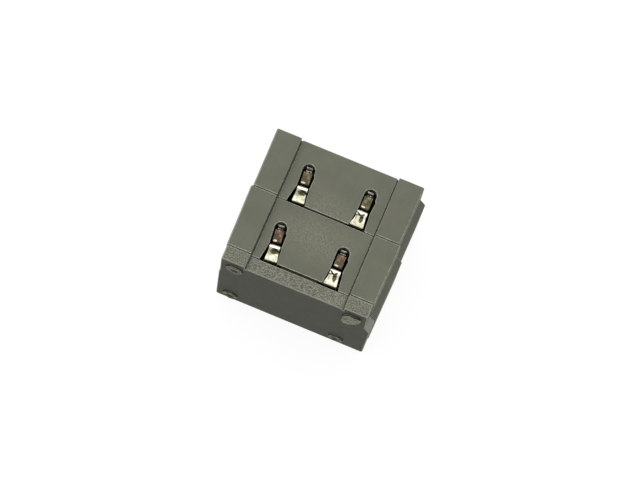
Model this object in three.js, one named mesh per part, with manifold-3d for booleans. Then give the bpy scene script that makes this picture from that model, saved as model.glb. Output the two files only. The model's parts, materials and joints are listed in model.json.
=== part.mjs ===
// Spring-contact block of a DIN rail contactor: two moulded contact slices and an end plate stacked
// front to back on four staked tie pins, with a sprung contact finger in each of four deck slots.
// Millimetres. +X is to the right, +Y to the back, +Z out of the contact deck. The origin is under
// the middle of the block's box, on the plane of its base.

import * as THREE from 'three';
import { mergeVertices } from 'three/addons/utils/BufferGeometryUtils.js';
import Module from 'manifold-3d';

const wasm = await Module();
wasm.setup();

// ---- Driving dimensions --------------------------------------------------------------------------

// Cross-section shared by the slices and the end plate.
const RAIL_SPAN = 22.5; // over the outer faces of the side rails
const BLOCK_HEIGHT = 15.8; // base to rail tops
const RAIL_WIDTH = 3.7;
const DECK_DROP = 0.65; // deck below the rail tops
const SHOULDER_TOP = 10.85; // height where the right flank starts to slope out
const SHOULDER_FOOT = 9.6; // height where the slope ends
const RIGHT_SHOULDER = 0.87; // how far the lower body stands out past the right rail
const LEFT_SHOULDER = 0.12; // the same on the left
const RIGHT_TOE_IN = 0.2; // taper of the right flank from shoulder to base
const RAIL_EDGE_RADIUS = 0.3;
const STEP_RADIUS = 0.12;
const BASE_RADIUS = 0.4;

// Depth of each layer, and the draft that makes each one wider at its back end.
const REAR_SLICE_DEPTH = 9.5;
const FRONT_SLICE_DEPTH = 9.7;
const END_PLATE_DEPTH = 2.2;
const SEAM_GAP = 0.04;
const REAR_SLICE_DRAFT = 0.15;
const FRONT_SLICE_DRAFT = 0.25;
const END_PLATE_INSET = 0.1; // the end plate is narrower than the slices, on each side

// Contact chambers and the slots above them. Depths are counted back from the slice's front face.
const REAR_CONTACTS_X = [-4.7, 4.7];
const FRONT_CONTACTS_X = [-4.95, 4.45];
const DECK_THICKNESS = 1.2;
const FLOOR_THICKNESS = 1.5;
const CHAMBER_WIDTH = 2.3;
const CHAMBER_DEPTH = 6.6;
const SLOT_WIDTH = 1.85;
const SLOT_DEPTH = 6.4;
const SLOT_MOUTH_WIDTH = 2.7;
const SLOT_FLARE_DEPTH = 2.2;
const WINDOW_WIDTH = 1.5; // opening in the base under each contact's foot
const WINDOW_FROM = 1.6;
const WINDOW_TO = 4.8;

// Contacts: plated bow, copper spring leaf, and the fixed stem that carries both.
const FINGER_OFFSET = 0.1; // the fingers sit towards the middle of the block
const BOW_THICKNESS = 0.3;
const BOW_WIDTH = 1.55;
const BOW_ROOT_WIDTH = 2.05;
const BOW_NECK_DEPTH = 1.7; // depth at which the root has narrowed to the bow's width
const LEAF_THICKNESS = 0.24;
const LEAF_WIDTH = 1.3;
const LEAF_TIP_WIDTH = 0.75;
const LEAF_TAPER_FROM = 5.2; // depths between which the leaf narrows to its tip
const LEAF_TAPER_TO = 5.6;
const STEM_THICKNESS = 0.35;
const STEM_WIDTH = 1.9;
const STEM_PLANE = 0.28; // depth of the stem's middle
const LEAF_PLANE = 0.66; // depth of the leaf's root
const FLEX_HEIGHT = 13.3; // height of the line about which the finger flexes
const FLEX_GAP = 0.3; // between the stem's crimp and the finger's root

// Tie pins: centre (x, z), and how far the staked head stands out of the front face.
const TIE_PINS = [
  { name: 'tie_pin_upper_left', x: -9.0, z: 13.4, headHeight: 0.4 },
  { name: 'tie_pin_upper_right', x: 8.9, z: 12.9, headHeight: 0.6 },
  { name: 'tie_pin_lower_left', x: -9.1, z: 1.9, headHeight: 0.4 },
  { name: 'tie_pin_lower_right', x: 7.5, z: 1.8, headHeight: 0.4 },
];
const PIN_RADIUS = 1.0;
const PIN_HEAD_RADIUS = 1.4;
const PIN_HEAD_EDGE = 0.25;
const PIN_CLEARANCE = 0.06;
const FRONT_RECESS_RADIUS = 1.62;
const FRONT_RECESS_DEPTH = 0.3;
const REAR_RECESS_DEPTH = 0.8;
const REAR_HEAD_THICKNESS = 0.7;
const ROUND_SEGMENTS = 32;

// ---- Derived places ------------------------------------------------------------------------------

const DECK_TOP = BLOCK_HEIGHT - DECK_DROP;
const RAIL_INNER = RAIL_SPAN / 2 - RAIL_WIDTH;
const REAR_SLICE_FRONT = -REAR_SLICE_DEPTH;
const FRONT_SLICE_FRONT = REAR_SLICE_FRONT - FRONT_SLICE_DEPTH;
const END_PLATE_FRONT = FRONT_SLICE_FRONT - END_PLATE_DEPTH;
const CUT_MARGIN = 1; // how far a cutter runs past the face it opens

// ---- Materials -----------------------------------------------------------------------------------

function plastic(colour) {
  return new THREE.MeshStandardMaterial({ color: colour, roughness: 0.55, metalness: 0 });
}

function metal(colour, roughness) {
  return new THREE.MeshStandardMaterial({ color: colour, roughness, metalness: 1 });
}

const SLICE_COLOUR = 0x6f7064;
const END_PLATE_COLOUR = 0x68695e;
const PIN_COLOUR = 0x7a756b;
const PLATING_COLOUR = 0xd8d3b4;
const COPPER_COLOUR = 0x7d5a3c;
const STEM_COLOUR = 0xc2b98e;

// ---- Solids --------------------------------------------------------------------------------------

function toSolid(geometry) {
  const bare = geometry.clone();
  bare.deleteAttribute('normal');
  bare.deleteAttribute('uv');
  const merged = mergeVertices(bare);
  return new wasm.Manifold(new wasm.Mesh({
    numProp: 3,
    vertProperties: new Float32Array(merged.attributes.position.array),
    triVerts: new Uint32Array(merged.index.array),
  }));
}

function toGeometry(solid) {
  const { vertProperties, triVerts } = solid.getMesh();
  const geometry = new THREE.BufferGeometry();
  geometry.setAttribute('position', new THREE.BufferAttribute(vertProperties, 3));
  geometry.setIndex(new THREE.BufferAttribute(triVerts, 1));
  geometry.computeVertexNormals();
  return geometry;
}

function cut(body, cutters) {
  const solid = cutters.reduce((left, cutter) => left.subtract(toSolid(cutter)), toSolid(body));
  return toGeometry(solid);
}

function box(xRange, yRange, zRange) {
  const middle = [xRange, yRange, zRange].map(([low, high]) => (low + high) / 2);
  const [width, depth, height] = [xRange, yRange, zRange].map(([low, high]) => high - low);
  return new THREE.BoxGeometry(width, depth, height).translate(...middle);
}

// A cylinder along Y between two depths.
function cylinderAlongY(x, z, radius, yBack, yFront) {
  const length = yBack - yFront;
  const geometry = new THREE.CylinderGeometry(radius, radius, length, ROUND_SEGMENTS);
  return geometry.translate(0, (yBack + yFront) / 2, 0).translate(x, 0, z);
}

// A closed outline through corner points, each given as [x, y, radius].
function roundedShape(corners) {
  const shape = new THREE.Shape();
  corners.forEach(([x, y, radius], index) => {
    const corner = new THREE.Vector2(x, y);
    const before = new THREE.Vector2(...corners.at(index - 1));
    const after = new THREE.Vector2(...corners[(index + 1) % corners.length]);
    const arrive = before.sub(corner).setLength(radius).add(corner);
    const leave = after.sub(corner).setLength(radius).add(corner);
    if (index === 0) {
      shape.moveTo(arrive.x, arrive.y);
    } else {
      shape.lineTo(arrive.x, arrive.y);
    }
    shape.quadraticCurveTo(x, y, leave.x, leave.y);
  });
  shape.closePath();
  return shape;
}

// ---- Layers of the block -------------------------------------------------------------------------

// The section seen from the front: base, shouldered flanks, and a rail on each side of the deck.
function layerSection(halfSpan) {
  const left = -halfSpan;
  const right = halfSpan;
  return roundedShape([
    [left - LEFT_SHOULDER, 0, BASE_RADIUS],
    [right + RIGHT_SHOULDER - RIGHT_TOE_IN, 0, BASE_RADIUS],
    [right + RIGHT_SHOULDER, SHOULDER_FOOT, STEP_RADIUS],
    [right, SHOULDER_TOP, STEP_RADIUS],
    [right, BLOCK_HEIGHT, RAIL_EDGE_RADIUS],
    [RAIL_INNER, BLOCK_HEIGHT, STEP_RADIUS],
    [RAIL_INNER, DECK_TOP, STEP_RADIUS],
    [-RAIL_INNER, DECK_TOP, STEP_RADIUS],
    [-RAIL_INNER, BLOCK_HEIGHT, STEP_RADIUS],
    [left, BLOCK_HEIGHT, RAIL_EDGE_RADIUS],
    [left, SHOULDER_TOP, STEP_RADIUS],
    [left - LEFT_SHOULDER, SHOULDER_FOOT, STEP_RADIUS],
  ]);
}

// The section run from yBack to yFront, with both flanks drawn in by draft at the front end.
function layer(halfSpan, draft, yBack, yFront) {
  const depth = yBack - yFront;
  const geometry = new THREE.ExtrudeGeometry(layerSection(halfSpan), {
    depth,
    bevelEnabled: false,
    curveSegments: 3,
  });
  geometry.rotateX(Math.PI / 2).translate(0, yBack, 0);
  const position = geometry.attributes.position;
  for (let i = 0; i < position.count; i += 1) {
    const x = position.getX(i);
    if (Math.abs(x) > RAIL_INNER + RAIL_WIDTH / 2) {
      const drawnIn = draft * (yBack - position.getY(i)) / depth;
      position.setX(i, x - Math.sign(x) * drawnIn);
    }
  }
  return geometry;
}

function pinBores(yBack, yFront) {
  const radius = PIN_RADIUS + PIN_CLEARANCE;
  return TIE_PINS.map(({ x, z }) => cylinderAlongY(x, z, radius, yBack + CUT_MARGIN, yFront - CUT_MARGIN));
}

// The slot's outline from above: a round blind end, straight sides, and a flared mouth.
function slotCutter(x, yFront) {
  const half = SLOT_WIDTH / 2;
  const mouth = SLOT_MOUTH_WIDTH / 2;
  const shape = new THREE.Shape();
  shape.moveTo(-mouth, -CUT_MARGIN);
  shape.lineTo(mouth, -CUT_MARGIN);
  shape.lineTo(mouth, 0);
  shape.lineTo(half, SLOT_FLARE_DEPTH);
  shape.lineTo(half, SLOT_DEPTH - half);
  shape.absarc(0, SLOT_DEPTH - half, half, 0, Math.PI, false);
  shape.lineTo(-half, SLOT_FLARE_DEPTH);
  shape.lineTo(-mouth, 0);
  shape.closePath();
  const depth = DECK_THICKNESS + 2 * CUT_MARGIN;
  const geometry = new THREE.ExtrudeGeometry(shape, { depth, bevelEnabled: false, curveSegments: 10 });
  return geometry.translate(x, yFront, DECK_TOP - DECK_THICKNESS - CUT_MARGIN);
}

// Everything cut from a slice for one contact: chamber, slot, and the window under its foot.
function contactCutters(x, yFront) {
  const chamber = box(
    [x - CHAMBER_WIDTH / 2, x + CHAMBER_WIDTH / 2],
    [yFront - CUT_MARGIN, yFront + CHAMBER_DEPTH],
    [FLOOR_THICKNESS, DECK_TOP - DECK_THICKNESS],
  );
  const window = box(
    [x - WINDOW_WIDTH / 2, x + WINDOW_WIDTH / 2],
    [yFront + WINDOW_FROM, yFront + WINDOW_TO],
    [-CUT_MARGIN, FLOOR_THICKNESS + CUT_MARGIN],
  );
  return [chamber, slotCutter(x, yFront), window];
}

function contactSlice(contactsX, draft, yBack, yFront) {
  const body = layer(RAIL_SPAN / 2 + draft, draft, yBack, yFront);
  const contacts = contactsX.flatMap((x) => contactCutters(x, yFront));
  return cut(body, [...pinBores(yBack, yFront), ...contacts]);
}

function rearSlice() {
  const slice = contactSlice(REAR_CONTACTS_X, REAR_SLICE_DRAFT, 0, REAR_SLICE_FRONT);
  const recesses = TIE_PINS.map(({ x, z }) => (
    cylinderAlongY(x, z, FRONT_RECESS_RADIUS, CUT_MARGIN, -REAR_RECESS_DEPTH)
  ));
  return cut(slice, recesses);
}

function frontSlice() {
  const yBack = REAR_SLICE_FRONT - SEAM_GAP;
  return contactSlice(FRONT_CONTACTS_X, FRONT_SLICE_DRAFT, yBack, FRONT_SLICE_FRONT);
}

function endPlate() {
  const yBack = FRONT_SLICE_FRONT - SEAM_GAP;
  const body = layer(RAIL_SPAN / 2 - END_PLATE_INSET, 0, yBack, END_PLATE_FRONT);
  const recesses = TIE_PINS.map(({ x, z }) => (
    cylinderAlongY(x, z, FRONT_RECESS_RADIUS, END_PLATE_FRONT + FRONT_RECESS_DEPTH, END_PLATE_FRONT - CUT_MARGIN)
  ));
  return cut(body, [...pinBores(yBack, END_PLATE_FRONT), ...recesses]);
}

// ---- Tie pins ------------------------------------------------------------------------------------

// A pin turned about its own axis: flat rear head, shank, and a domed head staked over at the front.
function tiePin({ headHeight }) {
  const rearHeadBack = -(REAR_RECESS_DEPTH - REAR_HEAD_THICKNESS) + SEAM_GAP;
  const rearHeadFront = -REAR_RECESS_DEPTH + SEAM_GAP;
  const frontHeadBack = END_PLATE_FRONT + FRONT_RECESS_DEPTH - SEAM_GAP;
  const frontHeadTop = END_PLATE_FRONT - headHeight;
  const profile = [
    [0, frontHeadTop],
    [PIN_HEAD_RADIUS * 0.6, frontHeadTop + PIN_HEAD_EDGE * 0.15],
    [PIN_HEAD_RADIUS - PIN_HEAD_EDGE * 0.4, frontHeadTop + PIN_HEAD_EDGE * 0.5],
    [PIN_HEAD_RADIUS, frontHeadTop + PIN_HEAD_EDGE],
    [PIN_HEAD_RADIUS, frontHeadBack],
    [PIN_RADIUS, frontHeadBack],
    [PIN_RADIUS, rearHeadFront],
    [PIN_HEAD_RADIUS, rearHeadFront],
    [PIN_HEAD_RADIUS, rearHeadBack],
    [0, rearHeadBack],
  ];
  return new THREE.LatheGeometry(profile.map(([r, y]) => new THREE.Vector2(r, y)), ROUND_SEGMENTS);
}

// ---- Contacts ------------------------------------------------------------------------------------

// A ribbon of even thickness about a centre line drawn in depth (first) and height (second).
function ribbon(path, thickness, width, divisions) {
  const centre = path.getPoints(divisions);
  const sides = centre.map((point, index) => {
    const next = centre[Math.min(index + 1, centre.length - 1)];
    const last = centre[Math.max(index - 1, 0)];
    const along = next.clone().sub(last).normalize();
    const across = new THREE.Vector2(-along.y, along.x).multiplyScalar(thickness / 2);
    return [point.clone().add(across), point.clone().sub(across)];
  });
  const outline = [...sides.map(([one]) => one), ...sides.map(([, other]) => other).reverse()];
  const geometry = new THREE.ExtrudeGeometry(new THREE.Shape(outline), { depth: width, bevelEnabled: false });
  geometry.translate(0, 0, -width / 2);
  return geometry.applyMatrix4(new THREE.Matrix4().makeBasis(
    new THREE.Vector3(0, 1, 0),
    new THREE.Vector3(0, 0, 1),
    new THREE.Vector3(1, 0, 0),
  ));
}

// Narrows a ribbon to a share of its width, evenly between two depths.
function narrow(geometry, from, to, share) {
  const position = geometry.attributes.position;
  for (let i = 0; i < position.count; i += 1) {
    const along = THREE.MathUtils.clamp((position.getY(i) - from) / (to - from), 0, 1);
    position.setX(i, position.getX(i) * THREE.MathUtils.lerp(1, share, along));
  }
  return geometry;
}

// Plated bow: up out of the crimp, bent back over the deck, arched to a crest, then steeply down.
function contactBow() {
  const path = new THREE.Path();
  path.moveTo(STEM_PLANE, FLEX_HEIGHT + FLEX_GAP / 2);
  path.lineTo(STEM_PLANE, 14.45);
  path.quadraticCurveTo(STEM_PLANE, 15.1, 0.95, 15.28);
  path.quadraticCurveTo(1.6, 15.45, 2.1, 15.59);
  path.quadraticCurveTo(2.75, 15.72, 3.0, 15.35);
  path.lineTo(3.2, 15.05);
  const bow = ribbon(path, BOW_THICKNESS, BOW_ROOT_WIDTH, 6);
  return narrow(bow, 0, BOW_NECK_DEPTH, BOW_WIDTH / BOW_ROOT_WIDTH);
}

// Copper leaf: back along the chamber under the bow, up into the slot behind it as a flat-topped
// arch, down again, and up to a narrow hooked tip at the blind end of the slot.
function springLeaf() {
  const path = new THREE.Path();
  path.moveTo(LEAF_PLANE, FLEX_HEIGHT + FLEX_GAP / 2);
  path.quadraticCurveTo(LEAF_PLANE, 13.75, 1.05, 13.75);
  path.lineTo(3.1, 13.75);
  path.quadraticCurveTo(3.65, 13.75, 3.65, 14.3);
  path.quadraticCurveTo(3.65, 14.75, 4.0, 14.78);
  path.lineTo(4.9, 14.78);
  path.quadraticCurveTo(5.25, 14.78, 5.3, 14.5);
  path.quadraticCurveTo(5.35, 14.2, 5.6, 14.2);
  path.quadraticCurveTo(5.85, 14.2, 5.9, 14.7);
  const leaf = ribbon(path, LEAF_THICKNESS, LEAF_WIDTH, 5);
  return narrow(leaf, LEAF_TAPER_FROM, LEAF_TAPER_TO, LEAF_TIP_WIDTH / LEAF_WIDTH);
}

// Fixed stem: a crimp that grips both roots, an upright, and a foot laid back along the floor.
function contactStem() {
  const footHeight = FLOOR_THICKNESS + STEM_THICKNESS / 2 + SEAM_GAP;
  const bend = 0.8;
  const crimpTop = FLEX_HEIGHT - FLEX_GAP / 2;
  const crimpHeight = 1.3;
  const path = new THREE.Path();
  path.moveTo(5.6, footHeight);
  path.lineTo(STEM_PLANE + bend, footHeight);
  path.quadraticCurveTo(STEM_PLANE, footHeight, STEM_PLANE, footHeight + bend);
  path.lineTo(STEM_PLANE, crimpTop);
  const strip = ribbon(path, STEM_THICKNESS, STEM_WIDTH, 6);
  const crimp = box(
    [-STEM_WIDTH / 2 - 0.1, STEM_WIDTH / 2 + 0.1],
    [0.08, LEAF_PLANE + LEAF_THICKNESS / 2 + 0.15],
    [crimpTop - crimpHeight, crimpTop],
  );
  return toGeometry(toSolid(strip).add(toSolid(crimp)));
}

// ---- Assembly ------------------------------------------------------------------------------------

const block = new THREE.Group();

function place(name, geometry, material, position = [0, 0, 0]) {
  const mesh = new THREE.Mesh(geometry, material);
  mesh.name = name;
  mesh.position.set(...position);
  block.add(mesh);
}

place('rear_contact_slice', rearSlice(), plastic(SLICE_COLOUR));
place('front_contact_slice', frontSlice(), plastic(SLICE_COLOUR));
place('end_plate', endPlate(), plastic(END_PLATE_COLOUR));

for (const pin of TIE_PINS) {
  place(pin.name, tiePin(pin), plastic(PIN_COLOUR), [pin.x, 0, pin.z]);
}

const CONTACT_ROWS = [
  { row: 'rear', yFront: REAR_SLICE_FRONT, contactsX: REAR_CONTACTS_X },
  { row: 'front', yFront: FRONT_SLICE_FRONT, contactsX: FRONT_CONTACTS_X },
];

for (const { row, yFront, contactsX } of CONTACT_ROWS) {
  contactsX.forEach((x, index) => {
    const side = index === 0 ? 'left' : 'right';
    const fingerX = x - Math.sign(x) * FINGER_OFFSET;
    place(`contact_bow_${row}_${side}`, contactBow(), metal(PLATING_COLOUR, 0.25), [fingerX, yFront, 0]);
    place(`spring_leaf_${row}_${side}`, springLeaf(), metal(COPPER_COLOUR, 0.4), [fingerX, yFront, 0]);
    place(`contact_stem_${row}_${side}`, contactStem(), metal(STEM_COLOUR, 0.35), [x, yFront, 0]);
  });
}

// The block's box is centred over the origin.
const middle = new THREE.Box3().setFromObject(block).getCenter(new THREE.Vector3());
block.position.set(-middle.x, -middle.y, 0);

export default block;
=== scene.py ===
"""Looks of the spring-contact block of a DIN rail contactor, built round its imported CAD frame.

Every piece is drawn in millimetres in the row frame, then scaled to metres when it is finished.
The letters u and d stand for places in a contact slot: u outwards from the middle of the finger,
towards the nearer rail, and d back from the front face of the slice.
"""

import json
import math
from typing import NamedTuple

import bmesh
import bpy
from mathutils import Matrix, Vector, noise


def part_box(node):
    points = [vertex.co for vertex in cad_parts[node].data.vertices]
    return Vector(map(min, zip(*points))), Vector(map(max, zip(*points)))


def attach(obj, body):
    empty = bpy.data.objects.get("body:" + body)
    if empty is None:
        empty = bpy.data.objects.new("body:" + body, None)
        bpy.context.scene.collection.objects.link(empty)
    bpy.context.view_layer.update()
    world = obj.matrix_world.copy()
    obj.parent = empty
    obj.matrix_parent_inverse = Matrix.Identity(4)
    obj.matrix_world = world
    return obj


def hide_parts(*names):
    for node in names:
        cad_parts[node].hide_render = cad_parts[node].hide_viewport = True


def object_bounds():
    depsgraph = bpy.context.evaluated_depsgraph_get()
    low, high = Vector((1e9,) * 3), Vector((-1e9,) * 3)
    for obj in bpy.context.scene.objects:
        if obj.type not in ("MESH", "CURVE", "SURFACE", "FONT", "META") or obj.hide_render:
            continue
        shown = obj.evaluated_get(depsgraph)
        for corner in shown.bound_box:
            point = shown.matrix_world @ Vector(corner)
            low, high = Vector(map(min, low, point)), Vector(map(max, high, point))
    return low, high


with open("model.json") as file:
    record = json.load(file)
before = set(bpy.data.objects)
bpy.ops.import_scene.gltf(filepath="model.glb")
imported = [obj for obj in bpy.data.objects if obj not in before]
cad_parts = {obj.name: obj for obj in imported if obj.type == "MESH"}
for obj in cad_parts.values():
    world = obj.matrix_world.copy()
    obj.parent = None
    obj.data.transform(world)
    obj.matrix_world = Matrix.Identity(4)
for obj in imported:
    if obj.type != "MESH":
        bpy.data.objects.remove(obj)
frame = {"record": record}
cad_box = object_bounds()

MM = 0.001

# ---- Block, in millimetres -----------------------------------------

RAILS_APART = 15.1
SHOULDER_TOP = 10.85
SHOULDER_FOOT = 9.6
RIGHT_SHOULDER = 0.87
LEFT_SHOULDER = 0.12
RIGHT_TOE_IN = 0.2
RAIL_EDGE_RADIUS = 0.3
STEP_RADIUS = 0.12
BASE_RADIUS = 0.4
CORNER_STEPS = 4
GROOVE_WIDTH = 0.2  # moulded line along the foot of each rail
GROOVE_DEPTH = 0.34
REAR_DRAFT = 0.15
FRONT_DRAFT = 0.25
REAR_TOP_DROP = 0.02  # the rear slice is a little lower
PAST = 1  # how far cutters reach past the faces that they open

DECK_THICKNESS = 1.2
FLOOR_THICKNESS = 1.5
CHAMBER_WIDTH = 2.3
CHAMBER_DEPTH = 6.6
VESTIBULE_WIDTH = 3.9  # the front of the chamber is wider, under the slot's mouth
VESTIBULE_FLOOR = 7.5
LIP_THICKNESS = 0.55  # of the deck there
WINDOW_WIDTH = 1.5
WINDOW_FROM = 1.6
WINDOW_TO = 4.8

REAR_SEAM = 0.24  # set-back of the deck at the seam between the slices, between the contacts
FRONT_SEAM = 0.34  # the same at the end plate
SEAM_TIGHT = 0.05  # the same beside the rails
SEAM_DEPTH = 0.9
RAIL_SEAM = 0.12  # set-back of the rails' front edges
RAIL_SEAM_DEPTH = 0.35
MOUTH_REACH = 1.7  # from a stem's middle, outwards, to where the wide seam has narrowed
WIDE_FROM = 1  # from a stem's middle, inwards, to where it is at its widest

RIM_WIDTH = 0.1  # rounding of moulded edges
SHARP_EDGE = math.radians(40)
NARROW = 0.2  # a face of such a rounding is narrower than this
SLANTING = 0.2  # and the middle one of its normal's three parts is larger than this
PLATE_EDGE = 0.14  # rounding of the end plate's front
PLATE_EDGE_STEPS = 3

PIN_RADIUS = 1.0
PIN_CLEARANCE = 0.06
HEAD_RADIUS = 1.4
RECESS_CLEARANCE = 0.13  # round a pin's head
FRONT_RECESS_DEPTH = 0.3
REAR_RECESS_DEPTH = 0.8
HEAD_GAP = 0.04  # between a head and the bottom of its recess
HEAD_EDGE = 0.12  # rounding of the rear heads

GRAIN_STEP = 0.075  # spacing of the end plate's top mesh
GRAIN_HEIGHT = 0.05
COARSE_GRAIN = 4.2  # per millimetre
FINE_GRAIN = 8

# ---- Contacts, in millimetres --------------------------------------

SLOT_END = 6.5
SLOT_HALF = 0.97  # at the deck
WAIST_DEPTH = 0.3  # below the deck, where a slot is narrowest
WAIST_NARROWING = 0.06
THROAT_HALF = 0.94  # under the waist
THROAT_OVERLAP = 0.5  # of the throat and the chamber
FLARE_DEPTH = 2.9
MOUTH_SPLAY = 0.3  # of the outer edge, in front of the slice
SLOT_ARC_STEPS = 14
SLOT_NOTCH = (4.8, 4.98)  # d where the slot's right edge has widened, and where it has stepped back
NOTCH_DEPTH = 0.16

BOW_THICKNESS = 0.26
BOW_ROOT_WIDTH = 1.86
BOW_WIDTH = 1.58
BOW_NECK = 1.9
WING = (0.4, 1.7)  # d between which the wing on a bow's root narrows to nothing
ROOT_D = 0.28  # of the bows' and stems' upright parts
LEAF_THICKNESS = 0.22
LEAF_WIDTH = 1.34
LEAF_TIP_WIDTH = 0.93
LEAF_TAPER = (5.3, 5.7)  # d between which it narrows to its tip
LEAF_HOLLOW = 0.04
GLINT_U = 0.26  # of the painted glint on a leaf, towards the left
LEAF_ARCH_D = 4.3
STEM_THICKNESS = 0.35
STEM_WIDTH = 1.6
STEM_FOOT_END = 5.6
STEM_FOOT_GAP = 0.04
STEM_BEND = (1.1, 0.8)  # d where the foot starts to turn up, and height above it where it is upright
CRIMP_WIDTH = 1.8
CRIMP_HEIGHT = 1.3
CRIMP_D = (0.08, 0.93)
FLEX_HEIGHT = 13.3
FLEX_GAP = 0.3
STRIP_STEP = 0.07  # spacing of the sections along a strip
STRIP_COLUMNS = 18
STRIP_EDGE = 0.07  # rounding of its edges
STRIP_EDGE_STEPS = 3
DENT_DEPTH = 0.09
CREASE_D = 2.02  # of the crease across a bow, in its middle
CREASE_SLOPE = 0.3
CREASE_HALF = 0.16
CREASE_DEPTH = 0.04


class Contact(NamedTuple):
    """A spring contact; see the start of this file for u and d."""

    name: str
    side: int  # -1 left of the middle, +1 right
    lean: float  # degrees towards the left at the far end
    inset: float  # of the finger's root from the middle of its stem, towards the block's middle
    outer_mouth: float  # u of the slot's outer edge at its mouth
    inner_mouth: float  # the same of its inner edge, drawn as a positive number
    slot_shift: float  # u of the middle of the slot's straight part
    wing: float  # how far the bow's root reaches beyond its side
    dent: tuple  # u, d, half width and half length of the hollow pressed in the bow
    redness: float  # of the leaf's tarnish, from olive 0 to copper 1


# Tarnish and painted light on the plating: (u, d, half width, half length, raggedness, slope), colour,
# amount.
# The patches in the palest colour are a painted highlight across the crest; the olive and black ones are
# painted dark reflection and shade in the dent and along the crease; the tan ones are tarnish.
CREST_HIGHLIGHT = (0.88, 0.87, 0.80)
TAN = (0.27, 0.245, 0.165)
OLIVE = (0.075, 0.07, 0.033)
BLACK = (0.02, 0.019, 0.012)
LEFT_TARNISH_AND_PAINTED_LIGHT = [
    ((0.42, 1.75, 0.5, 0.62, 1.6, 0), TAN, 0.8),
    ((-0.16, 1.84, 0.62, 0.44, 1.8, -0.1), OLIVE, 0.97),
    ((0, 2.42, 0.9, 0.19, 0.9, 0), CREST_HIGHLIGHT, 1),
    ((-0.1, 1.72, 0.3, 0.16, 2.2, 0), BLACK, 0.5),
]
RIGHT_TARNISH_AND_PAINTED_LIGHT = [
    ((-0.6, 1.5, 0.12, 0.5, 1.2, 0.2), TAN, 0.8),
    ((0, 2.4, 0.9, 0.22, 0.9, 0), CREST_HIGHLIGHT, 1),
    ((0.18, 1.6, 0.3, 0.66, 1.6, -0.15), OLIVE, 0.97),
    ((0.3, 2.24, 0.18, 0.12, 0.8, 0), OLIVE, 0.9),
    ((-0.34, 2.12, 0.44, 0.13, 0.8, -0.55), BLACK, 0.97),
]
LEFT_DENT = (-0.2, 1.8, 0.52, 0.5)
RIGHT_DENT = (0.2, 1.62, 0.3, 0.62)
CONTACTS = [
    Contact("rear_left", -1, 4.0, 0.27, 1.73, 1.06, 0.02, 0, LEFT_DENT, 0.45),
    Contact("rear_right", 1, 0.5, 0.08, 1.27, 1.26, 0.1, 0.2, RIGHT_DENT, 0.1),
    Contact("front_left", -1, 6.0, 0.34, 1.64, 0.98, 0, 0, LEFT_DENT, 0.9),
    Contact("front_right", 1, 1.2, 0.0, 1.36, 1.24, 0.04, 0.14, RIGHT_DENT, 0.7),
]

# ---- Tie pins, in millimetres --------------------------------------

SINK_HALF = Vector((0.9, 0.62))  # half size of the dent in the middle of a staked head
SINK_DEPTH = 0.34
SINK_RINGS = 6
HEAD_POINTS = 72
HEAD_RINGS = 18
HEAD_TAPER = 0.04  # how much narrower a staked head is at the bottom of its recess
HEAD_WAVES = 1.3  # scale of the waves round its rim
HEAD_RIM = 0.2  # its height at the rim, as a share of how far it may stick out
HEAD_RISE = 0.65  # what it gains towards its middle
HEAD_LUMPS = 2.5  # strength of its lumps, for each 1 of melt
LOBES_FULL_AT = 0.25  # share of the way in at which the lobes have their full reach
FLAT_PART = 2  # stored for the parts of a pin that were never melted


class TiePin(NamedTuple):
    """A pin through all layers, with a flat head at the back and a melted, staked head at the front."""

    node: str
    seed: float
    radius: float  # of the staked head
    melt: float  # how unevenly it melted
    lobes: list  # where it bulges or draws in: (angle in degrees, extra reach, spread in degrees)
    paleness: float
    sunken: float  # 1 with a dent in the middle, 0 without


PINS = [
    TiePin("tie_pin_upper_left", 1.7, 1.24, 0.14, [], 1.0, 1),
    TiePin(
        "tie_pin_upper_right", 8.2, 1.28, 0.12,
        [(46, 0.8, 32), (98, 0.4, 40), (-42, -0.15, 40), (-112, 0.85, 62)], 1.3, 0,
    ),
    TiePin("tie_pin_lower_left", 15.1, 1.08, 0.16, [], 0.9, 1),
    TiePin("tie_pin_lower_right", 22.9, 1.08, 0.16, [], 0.9, 1),
]

# ---- Places read from the frame ------------------------------------

record = frame["record"]
mounts = {mount["name"]: Vector(mount["pos_m"]) / MM for mount in record["mounts"]}
bodies = {node: body for body, nodes in record["behaviour"]["bodies"].items() for node in nodes}


def node_box(node):
    """Lowest and highest corner of a CAD node, in millimetres."""
    low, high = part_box(node)
    return low / MM, high / MM


RAILS_X = mounts["back_face"].x
DECK_TOP = mounts["rear_deck"].z
BLOCK_TOP = cad_box[1].z / MM
BLOCK_HALF = cad_box[1].x / MM
BLOCK_BACK = node_box("rear_contact_slice")[1].y
PLATE_LOW, PLATE_HIGH = node_box("end_plate")
RAIL_INNER = RAILS_APART / 2


# ---- Mesh helpers --------------------------------------------------


def in_scene(name, data):
    obj = bpy.data.objects.new(name, data)
    bpy.context.scene.collection.objects.link(obj)
    return obj


def new_object(name, bm):
    mesh = bpy.data.meshes.new(name)
    bm.to_mesh(mesh)
    bm.free()
    return in_scene(name, mesh)


def apply_modifiers(obj):
    bpy.context.view_layer.update()
    evaluated = obj.evaluated_get(bpy.context.evaluated_depsgraph_get())
    mesh = bpy.data.meshes.new_from_object(evaluated)
    obj.modifiers.clear()
    rough = obj.data
    obj.data = mesh
    bpy.data.meshes.remove(rough)


def loft(rings):
    """A closed skin through rings of equally many points, with a face across each end."""
    bm = bmesh.new()
    loops = [[bm.verts.new(point) for point in ring] for ring in rings]
    for near, far in zip(loops, loops[1:]):
        for i in range(len(near)):
            j = (i + 1) % len(near)
            bm.faces.new((near[i], near[j], far[j], far[i]))
    bm.faces.new(loops[0][::-1])
    bm.faces.new(loops[-1])
    bmesh.ops.recalc_face_normals(bm, faces=bm.faces)
    return bm


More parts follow.
